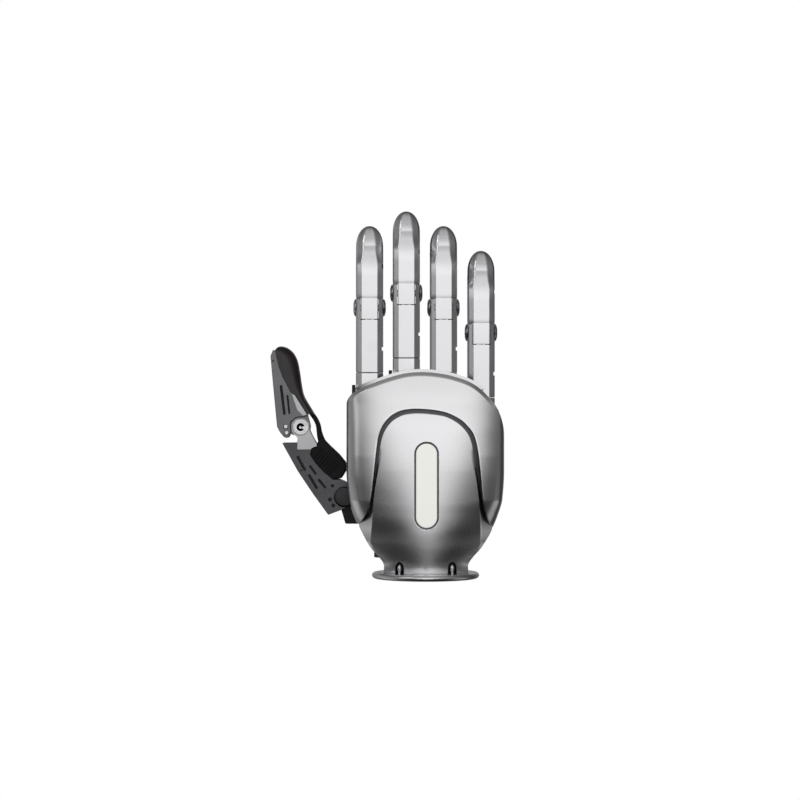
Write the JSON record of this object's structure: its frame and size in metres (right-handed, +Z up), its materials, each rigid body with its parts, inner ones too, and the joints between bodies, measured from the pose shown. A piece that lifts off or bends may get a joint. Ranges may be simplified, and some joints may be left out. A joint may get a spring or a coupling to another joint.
{
  "type": "prosthetic hand",
  "caption": "Powered right prosthetic hand with hinged fingers, a swinging thumb, a light strip on the back and a round bolt-on wrist flange.",
  "frame": {"origin": "centre of the wrist bolt pattern on the flange underside", "axes": "+Z up the hand to the fingertips, the back of the hand faces -Y, the thumb is on -X"},
  "size_m": [0.1267, 0.058, 0.1977],
  "materials": {
    "silver_shell": "satin bead-blasted and clear anodised",
    "satin_aluminium": "satin machined",
    "gunmetal": "satin gunmetal coat",
    "bright_steel": "turned and brushed",
    "dark_polymer": "moulded matte",
    "black_yoke": "moulded matte",
    "black_rubber": "moulded silicone",
    "tip_rubber": "moulded silicone",
    "opal_lens": "opal diffuser",
    "circuit_board": "solder mask"
  },
  "bodies": {
    "palm": {"wrist_flange": "satin_aluminium", "flange_screws": "bright_steel", "wrist_connector": "dark_polymer", "palm_frame": "dark_polymer", "knuckle_shell": "silver_shell", "back_panel": "silver_shell", "palmar_shell": "dark_polymer", "palm_pad": "black_rubber", "light_bezel": "dark_polymer", "light_lens": "opal_lens", "light_board": "circuit_board", "control_board": "circuit_board", "finger_actuators": "bright_steel", "mcp_axles": "bright_steel", "shell_screws": "bright_steel", "thumb_swing_motor": "bright_steel", "thenar_housing": "dark_polymer"},
    "index_proximal": {"index_proximal_frame": "satin_aluminium", "index_proximal_cover": "silver_shell", "index_pip_pin": "bright_steel"},
    "index_distal": {"index_distal_frame": "satin_aluminium", "index_distal_cover": "silver_shell", "index_fingertip_pad": "black_rubber"},
    "index_drive": {"index_drive_rod": "bright_steel"},
    "index_coupler": {"index_coupling_bar": "bright_steel"},
    "middle_proximal": {"middle_proximal_frame": "satin_aluminium", "middle_proximal_cover": "silver_shell", "middle_pip_pin": "bright_steel"},
    "middle_distal": {"middle_distal_frame": "satin_aluminium", "middle_distal_cover": "silver_shell", "middle_fingertip_pad": "black_rubber"},
    "middle_drive": {"middle_drive_rod": "bright_steel"},
    "middle_coupler": {"middle_coupling_bar": "bright_steel"},
    "ring_proximal": {"ring_proximal_frame": "satin_aluminium", "ring_proximal_cover": "silver_shell", "ring_pip_pin": "bright_steel"},
    "ring_distal": {"ring_distal_frame": "satin_aluminium", "ring_distal_cover": "silver_shell", "ring_fingertip_pad": "black_rubber"},
    "ring_drive": {"ring_drive_rod": "bright_steel"},
    "ring_coupler": {"ring_coupling_bar": "bright_steel"},
    "little_proximal": {"little_proximal_frame": "satin_aluminium", "little_proximal_cover": "silver_shell", "little_pip_pin": "bright_steel"},
    "little_distal": {"little_distal_frame": "satin_aluminium", "little_distal_cover": "silver_shell", "little_fingertip_pad": "black_rubber"},
    "little_drive": {"little_drive_rod": "bright_steel"},
    "little_coupler": {"little_coupling_bar": "bright_steel"},
    "thumb_swing": {"thumb_yoke": "black_yoke"},
    "thumb_proximal": {"thumb_proximal_frame": "gunmetal", "thumb_proximal_cover": "gunmetal", "thumb_mcp_pin": "gunmetal", "thumb_grip_pad": "black_rubber", "thumb_actuator": "bright_steel", "thumb_ip_pin": "bright_steel"},
    "thumb_distal": {"thumb_distal_frame": "gunmetal", "thumb_fingertip_pad": "tip_rubber", "thumb_sensor_strap": "black_rubber", "thumb_screws": "bright_steel"}
  },
  "joints": [
    {"name": "index_knuckle", "type": "hinge", "parent": "palm", "child": "index_proximal", "pos_m": [-0.0302, 0, 0.1006], "axis": [-1, 0, 0], "range_deg": [0, 90]},
    {"name": "index_middle_joint", "type": "hinge", "parent": "index_proximal", "child": "index_distal", "pos_m": [-0.0302, 0, 0.1458], "axis": [-1, 0, 0], "range_deg": [0, 90]},
    {"name": "index_drive_slide", "type": "slide", "parent": "palm", "child": "index_drive", "axis": [0, 0, 1], "range_m": [0, 0.007]},
    {"name": "index_coupler_slide", "type": "slide", "parent": "index_proximal", "child": "index_coupler", "axis": [0, 0, 1], "range_m": [0, 0.0061]},
    {"name": "middle_knuckle", "type": "hinge", "parent": "palm", "child": "middle_proximal", "pos_m": [-0.0104, 0, 0.1085], "axis": [-1, 0, 0], "range_deg": [0, 90]},
    {"name": "middle_middle_joint", "type": "hinge", "parent": "middle_proximal", "child": "middle_distal", "pos_m": [-0.0104, 0, 0.1537], "axis": [-1, 0, 0], "range_deg": [0, 90]},
    {"name": "middle_drive_slide", "type": "slide", "parent": "palm", "child": "middle_drive", "axis": [0, 0, 1], "range_m": [0, 0.007]},
    {"name": "middle_coupler_slide", "type": "slide", "parent": "middle_proximal", "child": "middle_coupler", "axis": [0, 0, 1], "range_m": [0, 0.0061]},
    {"name": "ring_knuckle", "type": "hinge", "parent": "palm", "child": "ring_proximal", "pos_m": [0.00965, 0, 0.1006], "axis": [-1, 0, 0], "range_deg": [0, 90]},
    {"name": "ring_middle_joint", "type": "hinge", "parent": "ring_proximal", "child": "ring_distal", "pos_m": [0.00965, 0, 0.1458], "axis": [-1, 0, 0], "range_deg": [0, 90]},
    {"name": "ring_drive_slide", "type": "slide", "parent": "palm", "child": "ring_drive", "axis": [0, 0, 1], "range_m": [0, 0.007]},
    {"name": "ring_coupler_slide", "type": "slide", "parent": "ring_proximal", "child": "ring_coupler", "axis": [0, 0, 1], "range_m": [0, 0.0061]},
    {"name": "little_knuckle", "type": "hinge", "parent": "palm", "child": "little_proximal", "pos_m": [0.0299, 0, 0.0872], "axis": [-1, 0, 0], "range_deg": [0, 90]},
    {"name": "little_middle_joint", "type": "hinge", "parent": "little_proximal", "child": "little_distal", "pos_m": [0.0299, 0, 0.1324], "axis": [-1, 0, 0], "range_deg": [0, 90]},
    {"name": "little_drive_slide", "type": "slide", "parent": "palm", "child": "little_drive", "axis": [0, 0, 1], "range_m": [0, 0.007]},
    {"name": "little_coupler_slide", "type": "slide", "parent": "little_proximal", "child": "little_coupler", "axis": [0, 0, 1], "range_m": [0, 0.0061]},
    {"name": "thumb_swing_joint", "type": "hinge", "parent": "palm", "child": "thumb_swing", "pos_m": [-0.02, 0.018, 0.028], "axis": [0, 0, 1], "range_deg": [-90, 0]},
    {"name": "thumb_base_joint", "type": "hinge", "parent": "thumb_swing", "child": "thumb_proximal", "pos_m": [-0.0441, 0.018, 0.0432], "axis": [0, 1, 0], "range_deg": [0, 75]},
    {"name": "thumb_tip_joint", "type": "hinge", "parent": "thumb_proximal", "child": "thumb_distal", "pos_m": [-0.068, 0.018, 0.0812], "axis": [0, 1, 0], "range_deg": [0, 75], "deforming": ["thumb_sensor_strap"]}
  ],
  "couplings": [
    {"joint": "index_middle_joint", "follows": "index_knuckle", "ratio": 1},
    {"joint": "index_drive_slide", "follows": "index_knuckle", "m_per_rad": 0.00432},
    {"joint": "index_coupler_slide", "follows": "index_knuckle", "m_per_rad": 0.00378},
    {"joint": "middle_middle_joint", "follows": "middle_knuckle", "ratio": 1},
    {"joint": "middle_drive_slide", "follows": "middle_knuckle", "m_per_rad": 0.00432},
    {"joint": "middle_coupler_slide", "follows": "middle_knuckle", "m_per_rad": 0.00378},
    {"joint": "ring_middle_joint", "follows": "ring_knuckle", "ratio": 1},
    {"joint": "ring_drive_slide", "follows": "ring_knuckle", "m_per_rad": 0.00432},
    {"joint": "ring_coupler_slide", "follows": "ring_knuckle", "m_per_rad": 0.00378},
    {"joint": "little_middle_joint", "follows": "little_knuckle", "ratio": 1},
    {"joint": "little_drive_slide", "follows": "little_knuckle", "m_per_rad": 0.00432},
    {"joint": "little_coupler_slide", "follows": "little_knuckle", "m_per_rad": 0.00378},
    {"joint": "thumb_tip_joint", "follows": "thumb_base_joint", "ratio": 1}
  ]
}
